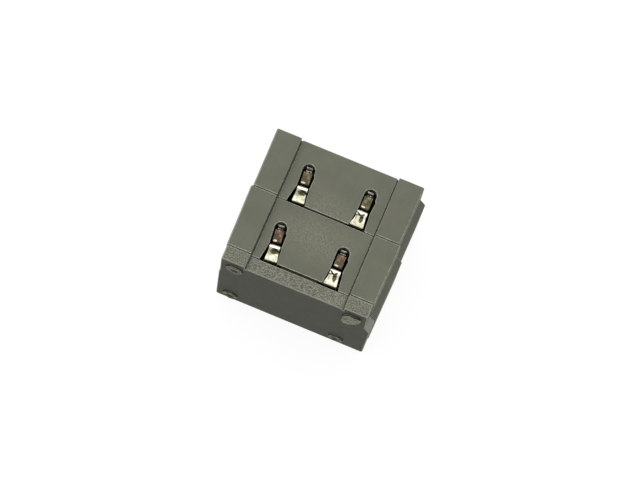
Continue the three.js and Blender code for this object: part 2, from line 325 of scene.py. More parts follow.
def box_solid(middle, width, depths, heights):
    """A box of a width about middle, between two depths along Y and two heights."""
    left, right = middle - width / 2, middle + width / 2
    near, far = depths
    corners = [(left, near), (right, near), (right, far), (left, far)]
    return loft([[(x, y, z) for x, y in corners] for z in heights])


def disc_ring(x, y, z, radius, count=64):
    """A circle about an axis along Y."""
    turns = [2 * math.pi * i / count for i in range(count)]
    return [(x + radius * math.cos(t), y, z + radius * math.sin(t)) for t in turns]


def cylinder(x, z, radius, y_back, y_front):
    return loft([disc_ring(x, y, z, radius) for y in (y_back, y_front)])


def cut(body, cutters):
    """Takes the cutters, given as bmeshes, out of a body."""
    tools = [new_object("cutter", cutter) for cutter in cutters]
    for tool in tools:
        modifier = body.modifiers.new("cut", "BOOLEAN")
        modifier.operation = "DIFFERENCE"
        modifier.solver = "EXACT"
        modifier.object = tool
    apply_modifiers(body)
    for tool in tools:
        bpy.data.objects.remove(tool)


def store(obj, domain, name, values):
    """Stores a value on each point, edge or face of a mesh."""
    stored = obj.data.attributes.new(name, "FLOAT", domain)
    stored.data.foreach_set("value", values)


def round_edges(obj, width, segments=3):
    """Rounds the sharp edges that stick out."""
    bm = bmesh.new()
    bm.from_mesh(obj.data)
    weights = [
        float(edge.is_convex and edge.calc_face_angle(0) > SHARP_EDGE)
        for edge in bm.edges
    ]
    bm.free()
    store(obj, "EDGE", "bevel_weight_edge", weights)
    bevel = obj.modifiers.new("round", "BEVEL")
    bevel.width = width
    bevel.segments = segments
    bevel.limit_method = "WEIGHT"
    bevel.use_clamp_overlap = False
    bevel.miter_outer = "MITER_ARC"
    apply_modifiers(obj)


def mark_rims(obj):
    """Stores 1 in the attribute rim on the narrow slanting faces that round the edges, 0 elsewhere."""
    mesh = obj.data
    marks = []
    for face in mesh.polygons:
        longest = max((mesh.vertices[a].co - mesh.vertices[b].co).length for a, b in face.edge_keys)
        slant = sorted(abs(part) for part in face.normal)[1]
        marks.append(float(face.area < NARROW * longest and slant > SLANTING))
    store(obj, "FACE", "rim", marks)


def smooth(obj, sharp_angle=35):
    """Smooth shading that keeps flat faces flat, and edges sharp above an angle in degrees."""
    mesh = obj.data
    mesh.polygons.foreach_set("use_smooth", [True] * len(mesh.polygons))
    mesh.set_sharp_from_angle(angle=math.radians(sharp_angle))
    weighted = obj.modifiers.new("flat faces", "WEIGHTED_NORMAL")
    weighted.keep_sharp = True
    weighted.weight = 80  # large faces count for most


def finish_piece(obj, node, material):
    """Scales a piece to metres and puts it in the place of its CAD node."""
    obj.name = f"{node}_detail"
    obj.data.name = obj.name
    obj.data.transform(Matrix.Scale(MM, 4))
    obj.data.materials.clear()
    obj.data.materials.append(material)
    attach(obj, bodies[node])
    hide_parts(node)


# ---- Layers of the block -------------------------------------------


def corner_arc(before, corner, after, radius, inset):
    """Points of the arc at one corner of an outline that is drawn in by inset."""
    arrive, leave = (corner - before).normalized(), (after - corner).normalized()
    turn = math.atan2(arrive.x * leave.y - arrive.y * leave.x, arrive.dot(leave))
    inward_in, inward_out = Vector((-arrive.y, arrive.x)), Vector((-leave.y, leave.x))
    miter = (inward_in + inward_out) / (1 + inward_in.dot(inward_out))
    if radius == 0:
        return [corner + inset * miter]
    bend = math.copysign(1, turn)
    arc_radius = max(radius - bend * inset, 0.01)
    centre = corner + (inset + bend * arc_radius) * miter
    return [
        centre - bend * arc_radius * (Matrix.Rotation(turn * k / CORNER_STEPS, 2) @ inward_in)
        for k in range(CORNER_STEPS + 1)
    ]


def rounded_outline(corners, inset, max_step):
    """Points round a closed outline of corners (x, z, radius), drawn in by inset.

    Long stretches on top of the block are divided into steps, if max_step says how long.
    """
    count = len(corners)
    points = [Vector(corner[:2]) for corner in corners]
    arcs = [
        corner_arc(points[i - 1], points[i], points[(i + 1) % count], corners[i][2], inset)
        for i in range(count)
    ]
    outline = []
    for i, arc in enumerate(arcs):
        outline += arc
        side = points[(i + 1) % count] - points[i]
        on_top = min(points[i].y, points[(i + 1) % count].y) > DECK_TOP - 2 * GROOVE_DEPTH
        if max_step and on_top and side.length > 1:
            parts = round(side.length / max_step)
            here, there = arc[-1], arcs[(i + 1) % count][0]
            outline += [here.lerp(there, k / parts) for k in range(1, parts)]
    return outline


def layer_section(half_span, inset, top, max_step=None):
    """Section across the block, seen from the front and drawn counter-clockwise from the base."""
    left, right = -half_span, half_span
    groove = RAIL_INNER - GROOVE_WIDTH
    deck = DECK_TOP - (BLOCK_TOP - top)
    floor = deck - GROOVE_DEPTH
    right_top = [
        (right, top, RAIL_EDGE_RADIUS),
        (RAIL_INNER, top, STEP_RADIUS),
        (RAIL_INNER, floor, 0),
        (groove, floor, 0),
        (groove, deck, 0),
    ]
    left_top = [(-x, z, radius) for x, z, radius in reversed(right_top)]
    corners = [
        (left - LEFT_SHOULDER, 0, BASE_RADIUS),
        (right + RIGHT_SHOULDER - RIGHT_TOE_IN, 0, BASE_RADIUS),
        (right + RIGHT_SHOULDER, SHOULDER_FOOT, STEP_RADIUS),
        (right, SHOULDER_TOP, STEP_RADIUS),
        *right_top,
        *left_top,
        (left, SHOULDER_TOP, STEP_RADIUS),
        (left - LEFT_SHOULDER, SHOULDER_FOOT, STEP_RADIUS),
    ]
    return [(RAILS_X + p.x, p.y) for p in rounded_outline(corners, inset, max_step)]


def layer(stations, top, max_step=None):
    """A layer through stations along Y, each given as (y, half span, inset)."""
    rings = []
    for y, half_span, inset in stations:
        section = layer_section(half_span, inset, top, max_step)
        rings.append([(x, y, z) for x, z in section])
    return new_object("layer", loft(rings))


def pin_places():
    """Middle of each tie pin across the block, and the radius of its front recess."""
    places = []
    for pin in PINS:
        low, high = node_box(pin.node)
        places.append(((low.x + high.x) / 2, (low.z + high.z) / 2, pin.radius + RECESS_CLEARANCE))
    return places


def pin_bores(y_back, y_front):
    radius = PIN_RADIUS + PIN_CLEARANCE
    return [cylinder(x, z, radius, y_back + PAST, y_front - PAST) for x, z, _ in pin_places()]


def contact_place(contact):
    """Middle of a contact's stem across the block, and the front face of the slice that holds it."""
    low, high = node_box(f"contact_stem_{contact.name}")
    slice_low, _ = node_box(f"{contact.name.split('_')[0]}_contact_slice")
    return (low.x + high.x) / 2, slice_low.y


def finger_frame(contact):
    """A function from a finger's (u, d) to the row frame's (x, y)."""
    x, y_front = contact_place(contact)
    origin = Vector((x - contact.side * contact.inset, y_front))
    turn = math.radians(contact.lean)
    back = Vector((-math.sin(turn), math.cos(turn)))
    outward = contact.side * Vector((back.y, -back.x))
    return lambda u, d: origin + u * outward + d * back


def slot_ring(contact, z, narrower):
    """One level of a slot: flared mouth, straight sides and a round blind end."""
    place = finger_frame(contact)
    half = SLOT_HALF - narrower
    middle = contact.slot_shift
    end_narrower = narrower / 3
    outer = contact.outer_mouth - end_narrower
    notch_from, notch_to = SLOT_NOTCH
    outer_notch, inner_notch = (NOTCH_DEPTH, 0) if contact.side > 0 else (0, NOTCH_DEPTH)
    outline = [
        (outer + MOUTH_SPLAY, -PAST),
        (outer, 0),
        (middle + half, FLARE_DEPTH),
        (middle + half + outer_notch, notch_from),
        (middle + half, notch_to),
    ]
    round_from = SLOT_END - end_narrower - half
    for k in range(SLOT_ARC_STEPS + 1):
        turn = math.pi * k / SLOT_ARC_STEPS
        outline.append((middle + half * math.cos(turn), round_from + half * math.sin(turn)))
    outline += [
        (middle - half, notch_to),
        (middle - half - inner_notch, notch_from),
        (middle - half, FLARE_DEPTH),
        (-contact.inner_mouth, 0),
        (-contact.inner_mouth, -PAST),
    ]
    return [(*place(u, d), z) for u, d in outline]


def slot_cutter(contact):
    """A slot that narrows to a waist just below the deck, with its throat under it."""
    waist = DECK_TOP - WAIST_DEPTH
    throat = SLOT_HALF - THROAT_HALF
    levels = [
        (DECK_TOP - DECK_THICKNESS - THROAT_OVERLAP, throat),
        (waist - 0.1, throat),
        (waist, WAIST_NARROWING),
        (DECK_TOP + PAST, 0),
    ]
    return loft([slot_ring(contact, z, narrower) for z, narrower in levels])


def contact_cutters(contact):
    x, y = contact_place(contact)
    chamber_top = DECK_TOP - DECK_THICKNESS
    vestibule_top = DECK_TOP - LIP_THICKNESS
    return [
        box_solid(x, CHAMBER_WIDTH, (y - PAST, y + CHAMBER_DEPTH), (FLOOR_THICKNESS, chamber_top)),
        box_solid(x, WINDOW_WIDTH, (y + WINDOW_FROM, y + WINDOW_TO), (-PAST, FLOOR_THICKNESS + PAST)),
        box_solid(x, VESTIBULE_WIDTH, (y - PAST, y + FLARE_DEPTH), (VESTIBULE_FLOOR, vestibule_top)),
        slot_cutter(contact),
    ]


def seam_cutter(y_front, wide, contacts):
    """Sets the deck's front edge back, most between the two contacts."""
    left, right = sorted(contact_place(contact)[0] for contact in contacts)
    beside = RAIL_INNER - GROOVE_WIDTH / 2
    heights = (DECK_TOP - SEAM_DEPTH, DECK_TOP + 2 * PAST)
    outline = [
        (RAILS_X - beside, y_front - PAST),
        (RAILS_X + beside, y_front - PAST),
        (RAILS_X + beside, y_front + SEAM_TIGHT),
        (right + MOUTH_REACH, y_front + SEAM_TIGHT),
        (right - WIDE_FROM, y_front + wide),
        (left + WIDE_FROM, y_front + wide),
        (left - MOUTH_REACH, y_front + SEAM_TIGHT),
        (RAILS_X - beside, y_front + SEAM_TIGHT),
    ]
    return loft([[(x, y, z) for x, y in outline] for z in heights])


def rail_seam_cutter(y_front):
    """Sets the rails' front edge back a little."""
    width = 2 * (BLOCK_HALF + PAST)
    heights = (BLOCK_TOP - RAIL_SEAM_DEPTH, BLOCK_TOP + PAST)
    return box_solid(RAILS_X, width, (y_front - PAST, y_front + RAIL_SEAM), heights)


def contact_slice(node, draft, top, seam, extra_cutters, material):
    low, high = node_box(node)
    half_back = high.x - RAILS_X - RIGHT_SHOULDER
    body = layer([(high.y, half_back, 0), (low.y, half_back - draft, 0)], top)
    row = node.split("_")[0]
    contacts = [contact for contact in CONTACTS if contact.name.startswith(row)]
    cutters = pin_bores(high.y, low.y)
    cutters += [seam_cutter(low.y, seam, contacts), rail_seam_cutter(low.y)]
    cutters += extra_cutters
    for contact in contacts:
        cutters += contact_cutters(contact)
    cut(body, cutters)
    round_edges(body, RIM_WIDTH)
    mark_rims(body)
    smooth(body)
    finish_piece(body, node, material)


def rear_slice(material):
    radius = HEAD_RADIUS + RECESS_CLEARANCE
    recesses = [
        cylinder(x, z, radius, BLOCK_BACK + PAST, BLOCK_BACK - REAR_RECESS_DEPTH)
        for x, z, _ in pin_places()
    ]
    top = BLOCK_TOP - REAR_TOP_DROP
    contact_slice("rear_contact_slice", REAR_DRAFT, top, REAR_SEAM, recesses, material)


def front_slice(material):
    contact_slice("front_contact_slice", FRONT_DRAFT, BLOCK_TOP, FRONT_SEAM, [], material)


def quarter_round(y_edge, inward, radius, half_span):
    """Stations that round the edge of a layer's face at y_edge; inward, 1 or -1, leads into the layer."""
    stations = []
    for k in range(PLATE_EDGE_STEPS + 1):
        turn = math.pi / 2 * k / PLATE_EDGE_STEPS
        y = y_edge + inward * radius * (1 - math.cos(turn))
        stations.append((y, half_span, radius * (1 - math.sin(turn))))
    return stations


def spark_grain(x, y):
    """Height of the spark-eroded texture, from about -1 to 1."""
    coarse = noise.noise(Vector((x, y, 0)) * COARSE_GRAIN)
    fine = noise.noise(Vector((x, y, 5)) * FINE_GRAIN)
    return 0.6 * coarse + 0.5 * fine


def end_plate(material):
    half = PLATE_HIGH.x - RAILS_X - RIGHT_SHOULDER
    back, front = PLATE_HIGH.y, PLATE_LOW.y
    flat_rows = round((back - front - PLATE_EDGE - RIM_WIDTH) / GRAIN_STEP)
    near, far = back - RIM_WIDTH, front + PLATE_EDGE
    stations = quarter_round(back, -1, RIM_WIDTH, half)
    stations += [(near + (far - near) * k / flat_rows, half, 0) for k in range(1, flat_rows)]
    stations += quarter_round(front, 1, PLATE_EDGE, half)[::-1]
    body = layer(stations, BLOCK_TOP - GRAIN_HEIGHT, GRAIN_STEP)
    floor = front + FRONT_RECESS_DEPTH
    recesses = [cylinder(x, z, radius, floor, front - PAST) for x, z, radius in pin_places()]
    cut(body, pin_bores(back, front) + recesses)
    round_edges(body, RIM_WIDTH / 2, segments=2)
    mark_rims(body)
    for vertex in body.data.vertices:
        x, y, z = vertex.co
        facing_up = max(0.0, vertex.normal.z)
        if z > DECK_TOP - 2 * GRAIN_HEIGHT:
            vertex.co.z += GRAIN_HEIGHT * facing_up * spark_grain(x, y)
    smooth(body, 60)
    finish_piece(body, "end_plate", material)


# ---- Tie pins ------------------------------------------------------


def head_reach(pin, turn):
    """How far a staked head reaches at an angle: wavy from melting, with lobes."""
    waves = noise.noise(Vector((math.cos(turn), math.sin(turn), pin.seed)) * HEAD_WAVES)
    reach = pin.radius * (1 + pin.melt * waves)
    for angle, extra, spread in pin.lobes:
        away = (math.degrees(turn) - angle + 180) % 360 - 180
        reach += extra * bell(away / spread)
    return reach


def head_width(share):
    """Width of a staked head, as a part of its full width, at a share of the way in to its middle."""
    return math.cos(math.pi / 2 * share) ** 0.4


def head_lumps(px, pz, seed):
    """Unevenness of a staked head's surface, from about -1 to 1."""
    place = Vector((px, pz, seed))
    return noise.noise(place * 1.2) + 0.6 * noise.noise(place * 3)


def staked_head(pin, x, z, front, proud):
    """Rings of the melted head from its rim inwards, with each ring's share of the way in.

    The third value is how deep each point lies in the dent, from 0 to 1.
    """
    profile = [(k / HEAD_RINGS, head_width(k / HEAD_RINGS)) for k in range(HEAD_RINGS)]
    innermost = profile[-1][1]
    profile += [(1, innermost * (1 - k / SINK_RINGS)) for k in range(1, SINK_RINGS)]
    rings, sunk = [], []
    for share, part_width in profile:
        ring = []
        lobed = min(1.0, share / LOBES_FULL_AT)
        dome = proud * (HEAD_RIM + HEAD_RISE * math.sin(math.pi / 2 * share) ** 0.6)
        uneven = HEAD_LUMPS * pin.melt * bell(1 - min(1.0, 2 * share))
        for i in range(HEAD_POINTS):
            turn = 2 * math.pi * i / HEAD_POINTS
            wide = (pin.radius + (head_reach(pin, turn) - pin.radius) * lobed) * part_width
            px, pz = x + wide * math.cos(turn), z + wide * math.sin(turn)
            sink = pin.sunken * bell(math.hypot((px - x) / SINK_HALF.x, (pz - z) / SINK_HALF.y))
            rise = dome * (1 + uneven * head_lumps(px, pz, pin.seed)) - SINK_DEPTH * sink
            sunk.append(sink)
            ring.append((px, front - min(proud, max(0.0, rise)), pz))
        rings.append(ring)
    return rings, [share for share, _ in profile], sunk


def tie_pin(pin):
    low, high = node_box(pin.node)
    x, z = (low.x + high.x) / 2, (low.z + high.z) / 2
    front = PLATE_LOW.y
    shoulder = front + FRONT_RECESS_DEPTH - HEAD_GAP
    rear_head = BLOCK_BACK - REAR_RECESS_DEPTH + HEAD_GAP
    stations = [
        (high.y, HEAD_RADIUS / 2),
        (high.y, HEAD_RADIUS - HEAD_EDGE),
        (high.y - HEAD_EDGE / 3, HEAD_RADIUS - HEAD_EDGE / 4),
        (high.y - HEAD_EDGE, HEAD_RADIUS),
        (rear_head, HEAD_RADIUS),
        (rear_head, PIN_RADIUS),
        (shoulder, PIN_RADIUS),
        (shoulder, pin.radius - HEAD_TAPER),
        (front, pin.radius - HEAD_TAPER / 2),
    ]
    rings = [disc_ring(x, y, z, wide, HEAD_POINTS) for y, wide in stations]
    head_rings, shares, sunk = staked_head(pin, x, z, front, front - low.y)
    body = new_object(pin.node, loft(rings + head_rings))
    inward = [FLAT_PART] * len(rings) + shares
    store(body, "POINT", "inward", [value for value in inward for _ in range(HEAD_POINTS)])
    store(body, "POINT", "sunk", [0.0] * len(rings) * HEAD_POINTS + sunk)
    smooth(body, 50)
    finish_piece(body, pin.node, pin_plastic(f"{pin.node}_plastic", pin.paleness))


# ---- Contacts ------------------------------------------------------


def bezier(points):
    """Evenly many points along a straight (two points) or curved (three points) stretch, less the last."""
    length = sum((b - a).length for a, b in zip(points, points[1:]))
    steps = max(3, round(length / STRIP_STEP))
    shares = [k / steps for k in range(steps)]
    if len(points) == 2:
        return [points[0].lerp(points[1], t) for t in shares]
    a, b, c = points
    return [a.lerp(b, t).lerp(b.lerp(c, t), t) for t in shares]


def strip_path(start, *stretches):
    """A path in depth and height. Each stretch gives its end, or its bend and its end."""
    path, here = [], Vector(start)
    for stretch in stretches:
        points = [here, *(Vector(point) for point in stretch)]
        path += bezier(points)
        here = points[-1]
    path.append(here)
    return path


def strip_ring(low, high, half_thickness, edge):
    """Section of a strip between two values of u, as (u, offset along its normal), with rounded edges."""
    corners = [(high - edge, 1), (low + edge, 1), (low + edge, -1), (high - edge, -1)]
    ring = []
    for index, (u, up) in enumerate(corners):
        middle = Vector((u, up * (half_thickness - edge)))
        for k in range(STRIP_EDGE_STEPS + 1):
            turn = math.pi / 2 * (index + k / STRIP_EDGE_STEPS)
            ring.append(middle + edge * Vector((math.cos(turn), math.sin(turn))))
        if index in (0, 2):
            near = ring[-1]
            far = Vector((corners[index + 1][0], near.y))
            ring += [near.lerp(far, k / STRIP_COLUMNS) for k in range(1, STRIP_COLUMNS)]
    return ring


def strip(name, path, thickness, edges_at, relief, place):
    """A formed metal strip. edges_at(d) gives its low and high u, and relief(u, d) shifts its faces.

    place maps (u, d) to (x, y). Vertices remember their u, d and length along the strip in strip_place.
    """
    rings, places = [], []
    last = len(path) - 1
    length = 0
    for i, point in enumerate(path):
        along = (path[min(i + 1, last)] - path[max(i - 1, 0)]).normalized()
        normal = Vector((-along.y, along.x))
        length += (point - path[max(i - 1, 0)]).length
        shrink = STRIP_EDGE if i in (0, last) else 0
        low, high = edges_at(point.x)
        section = strip_ring(low + shrink, high - shrink, thickness / 2 - shrink, STRIP_EDGE - 0.9 * shrink)
        ring = []
        for u, offset in section:
            spot = point + normal * (offset + relief(u, point.x))
            ring.append((*place(u, spot.x), spot.y))
            places.append((u, point.x, length))
        rings.append(ring)
    obj = new_object(name, loft(rings))
    stored = obj.data.attributes.new("strip_place", "FLOAT_VECTOR", "POINT")
    stored.data.foreach_set("vector", [value for spot in places for value in spot])
    return obj


def ease(value, low, high):
    share = min(1.0, max(0.0, (value - low) / (high - low)))
    return share * share * (3 - 2 * share)


def bell(distance):
    """1 at the middle, falling smoothly to 0 at a distance of 1."""
    return 1 - ease(abs(distance), 0, 1)


def contact_bow(contact, material):
    """The wide strip that a mating pin would press down: flat, a steep rise, and a round crest."""
    dent_u, dent_d, dent_half_width, dent_half_length = contact.dent

    def edges(d):
        half = BOW_ROOT_WIDTH / 2 + (BOW_WIDTH - BOW_ROOT_WIDTH) / 2 * ease(d, 0.3, BOW_NECK)
        wing = contact.wing * (1 - ease(d, *WING))
        return -half - wing, half

    def relief(u, d):
        dent = bell((u - dent_u) / dent_half_width) * bell((d - dent_d) / dent_half_length)
        crease = bell((d - CREASE_D - CREASE_SLOPE * u) / CREASE_HALF)
        return -DENT_DEPTH * dent - CREASE_DEPTH * crease

    path = strip_path(
        (ROOT_D, FLEX_HEIGHT + FLEX_GAP / 2),
        [(ROOT_D, 14.9)],
        [(ROOT_D, 15.16), (0.55, 15.2)],
        [(1.3, 15.28)],
        [(1.62, 15.31), (1.92, 15.48)],
        [(2.16, 15.62), (2.35, 15.6)],
        [(2.62, 15.58), (2.76, 15.2)],
        [(2.85, 14.9), (2.88, 14.5)],
    )
    body = strip("bow", path, BOW_THICKNESS, edges, relief, finger_frame(contact))
    smooth(body, 60)
    finish_piece(body, f"contact_bow_{contact.name}", material)


def leaf_edges(d):
    wide, narrow = LEAF_WIDTH / 2, LEAF_TIP_WIDTH / 2
    half = wide + (narrow - wide) * ease(d, *LEAF_TAPER)
    return -half, half


def leaf_relief(u, d):
    """A slight hollow along the middle of the arch, left by the forming tool."""
    return -LEAF_HOLLOW * bell(u / 0.5) * bell(d - LEAF_ARCH_D)


def spring_leaf(contact, material):
    """The spring inside the bow: it passes under the crest, arches up behind it and ends in a hook."""
    path = strip_path(
        (0.66, FLEX_HEIGHT + FLEX_GAP / 2),
        [(0.66, 13.75), (1.0, 13.75)],
        [(2.95, 13.75)],
        [(3.28, 13.75), (3.3, 14.2)],
        [(3.34, 14.68), (3.75, 14.77)],
        [(4.5, 14.88), (5.15, 14.78)],
        [(5.42, 14.72), (5.48, 14.4)],
        [(5.54, 14.1), (5.74, 14.12)],
        [(5.84, 14.14), (5.86, 14.6)],
        [(5.88, 14.96), (6.06, 14.98)],
    )
    body = strip("leaf", path, LEAF_THICKNESS, leaf_edges, leaf_relief, finger_frame(contact))
    smooth(body, 60)
    finish_piece(body, f"spring_leaf_{contact.name}", material)


def contact_stem(contact, material):
    """A fixed strip from its foot on the chamber's floor up to the crimp that holds bow and leaf."""
    x, y_front = contact_place(contact)
    x -= contact.side * contact.inset
    foot = FLOOR_THICKNESS + STEM_FOOT_GAP + STEM_THICKNESS / 2
    crimp_top = FLEX_HEIGHT - FLEX_GAP / 2
    bend_from, bend_height = STEM_BEND
    path = strip_path(
        (STEM_FOOT_END, foot),
        [(bend_from, foot)],
        [(ROOT_D, foot), (ROOT_D, foot + bend_height)],
        [(ROOT_D, crimp_top)],
    )
    half = STEM_WIDTH / 2
    body = strip(
        "stem",
        path,
        STEM_THICKNESS,
        edges_at=lambda d: (-half, half),
        relief=lambda u, d: 0,
        place=lambda u, d: Vector((x + u, y_front + d)),
    )
    depths = [y_front + d for d in CRIMP_D]
    crimp = new_object("crimp", box_solid(x, CRIMP_WIDTH, depths, (crimp_top - CRIMP_HEIGHT, crimp_top)))
    join = body.modifiers.new("join", "BOOLEAN")
    join.operation = "UNION"
    join.solver = "EXACT"
    join.object = crimp
    apply_modifiers(body)
    bpy.data.objects.remove(crimp)
    smooth(body)
    finish_piece(body, f"contact_stem_{contact.name}", material)


# ---- Materials -----------------------------------------------------


class Nodes:
    """A material's node tree, with short calls for the nodes that these materials use."""

    def __init__(self, name):
        self.material = bpy.data.materials.new(name)
        self.material.use_nodes = True
        self.tree = self.material.node_tree
        self.shader = self.tree.nodes["Principled BSDF"]
        self.place = self.add("ShaderNodeTexCoord").outputs["Object"]

    def add(self, kind, inputs=None, **settings):
        node = self.tree.nodes.new(kind)
        for key, value in settings.items():
            setattr(node, key, value)
        self.feed(node, inputs or {})
        return node

    def feed(self, node, inputs):
        """Sets a node's sockets to constants, or links them to other nodes' outputs."""
        for socket, value in inputs.items():
            if isinstance(value, bpy.types.NodeSocket):
                self.tree.links.new(value, node.inputs[socket])
            else:
                node.inputs[socket].default_value = value

    def stretched(self, scale, place=None):
        inputs = {"Scale": scale, "Vector": place or self.place}
        return self.add("ShaderNodeMapping", inputs).outputs["Vector"]

    def noise(self, per_mm, detail=2, roughness=0.5, place=None):
        inputs = {
            "Scale": per_mm / MM,
            "Detail": detail,
            "Roughness": roughness,
            "Vector": place or self.place,
        }
        return self.add("ShaderNodeTexNoise", inputs).outputs["Fac"]

    def cells(self, per_mm):
        inputs = {"Scale": per_mm / MM, "Vector": self.place}
        return self.add("ShaderNodeTexVoronoi", inputs).outputs["Distance"]

    def ramp(self, factor, low, high, from_value=0.0, to_value=1.0):
        inputs = {
            "Value": factor,
            "From Min": low,
            "From Max": high,
            "To Min": from_value,
            "To Max": to_value,
        }
        return self.add("ShaderNodeMapRange", inputs).outputs["Result"]

    def math(self, operation, a, b):
        return self.add("ShaderNodeMath", {0: a, 1: b}, operation=operation).outputs["Value"]

    def strip_place(self):
        """u and d of a formed strip, as separate values."""
        parts = self.add("ShaderNodeSeparateXYZ", {"Vector": self.stored("strip_place", "Vector")})
        return parts.outputs["X"], parts.outputs["Y"]

    def patch(self, u_middle, d_middle, u_half, d_half, ragged, slope=0):
        """1 inside an oval patch of a strip, 0 outside it, with an edge made ragged by noise.

        slope is how far d changes for each mm of u, along the patch.
        """
        u, d = self.strip_place()
        away = self.math("SUBTRACT", u, u_middle)
        across = self.math("DIVIDE", away, u_half)
        level = self.math("SUBTRACT", d, self.math("MULTIPLY", away, slope))
        along = self.math("DIVIDE", self.math("SUBTRACT", level, d_middle), d_half)
        square = self.math("ADD", self.math("POWER", across, 2), self.math("POWER", along, 2))
        wobble = self.math("MULTIPLY", self.math("SUBTRACT", self.noise(3.5, detail=3), 0.5), ragged)
        return self.ramp(self.math("ADD", square, wobble), 1.25, 0.75)

    def mix(self, factor, *colours):
        a, b = [(*colour, 1) if isinstance(colour, tuple) else colour for colour in colours]
        # Sockets 6 and 7 take the colours, and output 2 gives the colour.
        return self.add("ShaderNodeMix", {"Factor": factor, 6: a, 7: b}, data_type="RGBA").outputs[2]

    def facing(self):
        """The y and z parts of the surface's direction."""
        normal = self.add("ShaderNodeNewGeometry").outputs["True Normal"]
        parts = self.add("ShaderNodeSeparateXYZ", {"Vector": normal})
        return parts.outputs["Y"], parts.outputs["Z"]

    def spot(self, middle, reach):
        """1 at a place given in mm, fading to 0 at the reach given for each axis."""
        inputs = {
            "Location": [part * MM for part in middle],
            "Scale": [part * MM for part in reach],
            "Vector": self.place,
        }
        away = self.add("ShaderNodeMapping", inputs, vector_type="TEXTURE").outputs["Vector"]
        length = self.add("ShaderNodeVectorMath", {0: away}, operation="LENGTH").outputs["Value"]
        return self.ramp(length, 1, 0.2)

    def stored(self, name, output="Fac"):
        """A value or a vector that is stored on the mesh."""
        return self.add("ShaderNodeAttribute", attribute_name=name).outputs[output]

    def strip_noise(self, across_per_mm, along_per_mm, detail=3):
        """Noise drawn out along a formed strip, whose stored places are in millimetres."""
        place = self.stretched((across_per_mm, 0, along_per_mm), self.stored("strip_place", "Vector"))
        return self.noise(MM, detail, 0.6, place)

    def bump(self, *heights):
        """Bump from (height, distance in mm) pairs, laid over each other."""
        normal = {}
        for height, distance in heights:
            inputs = {"Distance": distance * MM, "Height": height, **normal}
            normal = {"Normal": self.add("ShaderNodeBump", inputs).outputs["Normal"]}
        self.feed(self.shader, normal)

    def finish(self, colour, roughness, metallic=0.0, specular=0.5):
        self.feed(self.shader, {
            "Base Color": colour,
            "Roughness": roughness,
            "Metallic": metallic,
            "Specular IOR Level": specular,
        })
        return self.material


def slice_plastic(name, pale_spot):
    """Smooth olive-grey moulding with faint mottling, a few dark specks and painted highlights on its
    rounded edges.

    pale_spot is the middle, in millimetres, of an area of the deck that the mould left paler and grainy.
    """
    n = Nodes(name)
    clouds = n.noise(0.35, detail=3)
    colour = n.mix(n.ramp(clouds, 0.3, 0.7), (0.124, 0.129, 0.098), (0.142, 0.147, 0.112))
    flow = n.noise(1.2, detail=4, place=n.stretched((1, 0.25, 1)))
    colour = n.mix(n.ramp(flow, 0.35, 0.8, 0, 0.35), colour, (0.16, 0.164, 0.13))
    grain = n.noise(5, detail=2, roughness=0.6)
    grainy = n.mix(n.ramp(grain, 0.38, 0.64), (0.125, 0.129, 0.098), (0.225, 0.231, 0.18))
    colour = n.mix(n.ramp(n.spot(pale_spot, (7.5, 4.2, 6)), 0, 1, 0.03, 0.7), colour, grainy)
    specks = n.ramp(n.cells(1.0), 0.06, 0.035)
    colour = n.mix(specks, colour, (0.055, 0.055, 0.043))
    # Painted highlight: the rounded edges that face up and to the front are made paler, in patches.
    back, up = n.facing()
    patchy = n.ramp(n.noise(2.2, detail=3), 0.35, 0.6, 0.4, 1)
    lit = n.math("MULTIPLY", n.ramp(up, 0.3, 0.7), n.ramp(back, 0, -0.3, 0.45, 1))
    rim = n.math("MULTIPLY", n.stored("rim"), n.math("MULTIPLY", lit, patchy))
    colour = n.mix(rim, colour, (0.50, 0.505, 0.45))
    roughness = n.ramp(n.noise(2.5, detail=3), 0.3, 0.7, 0.42, 0.55)
    n.bump((n.noise(0.5, detail=2), 0.03), (grain, 0.004))
    return n.finish(colour, roughness, specular=0.06)


def end_plate_plastic():
    """The same plastic from a spark-eroded tool: speckled on top, smoother in front and darkened there with
    painted shade, with painted highlights on its rounded edges.
    """
    n = Nodes("end_plate_plastic")
    grain = n.noise(5.2, detail=2, roughness=0.7)
    colour = n.mix(n.ramp(grain, 0.36, 0.66), (0.07, 0.072, 0.054), (0.28, 0.288, 0.225))
    clouds = n.noise(0.3, detail=3)
    colour = n.mix(n.ramp(clouds, 0.35, 0.7, 0, 0.3), colour, (0.142, 0.145, 0.12))
    back, up = n.facing()
    colour = n.mix(n.ramp(up, 0.6, 0.1, 0, 0.65), colour, (0.128, 0.131, 0.102))
    # Painted shade: the front face gets a darker, plain colour without the grain.
    smooth_shaded_front = n.ramp(back, -0.6, -0.9)
    plain_shaded = n.mix(n.ramp(n.noise(0.8, detail=4), 0.3, 0.7), (0.074, 0.075, 0.060), (0.084, 0.085, 0.068))
    colour = n.mix(n.ramp(smooth_shaded_front, 0, 1, 0, 0.95), colour, plain_shaded)
    # Painted highlight on the rounded edges.
    colour = n.mix(n.ramp(n.stored("rim"), 0, 1, 0, 0.75), colour, (0.32, 0.325, 0.285))
    roughness = n.ramp(grain, 0.3, 0.7, 0.5, 0.7)
    n.bump((grain, 0.02), (n.noise(15, detail=2), 0.005))
    return n.finish(colour, roughness, specular=0.06)


